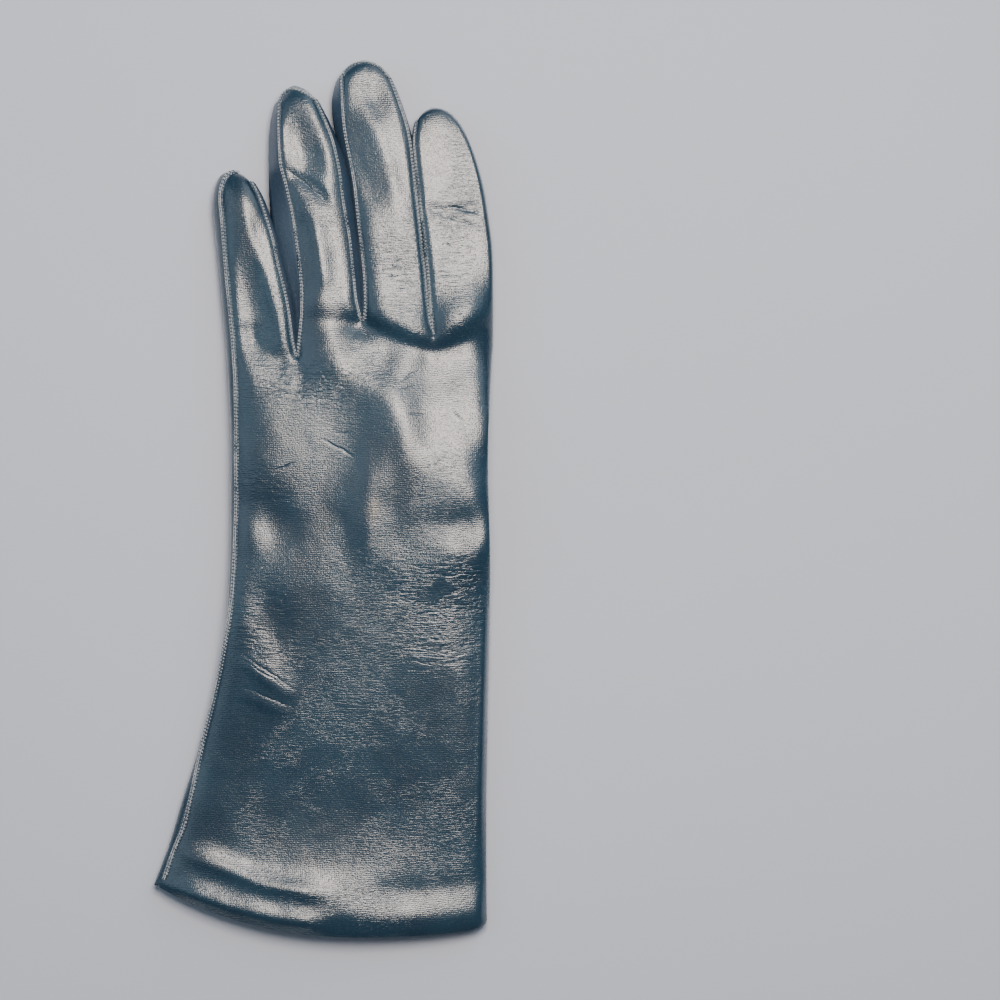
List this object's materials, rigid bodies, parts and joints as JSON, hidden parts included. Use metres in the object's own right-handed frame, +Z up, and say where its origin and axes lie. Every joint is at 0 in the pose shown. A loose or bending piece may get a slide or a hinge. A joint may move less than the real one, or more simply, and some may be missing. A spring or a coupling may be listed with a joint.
{
  "type": "leather dress glove",
  "caption": "Left-hand leather dress glove lying on its palm, hollow and open at a flared cuff, with forked side strips between the fingers and the thumb folded underneath.",
  "frame": {"origin": "middle of the base, on the plane that the glove lies on", "axes": "+Y towards the fingertips, +X towards the index finger's side, +Z up out of the back of the hand"},
  "size_m": [0.115, 0.2924, 0.0188],
  "materials": {
    "glove_leather": "glossy",
    "thumb_leather": "glossy",
    "fourchette_leather": "glossy"
  },
  "bodies": {
    "root": {"trank": "glove_leather", "thumb": "thumb_leather", "fourchette_little_ring": "fourchette_leather", "fourchette_ring_middle": "fourchette_leather", "fourchette_middle_index": "fourchette_leather"}
  },
  "joints": []
}
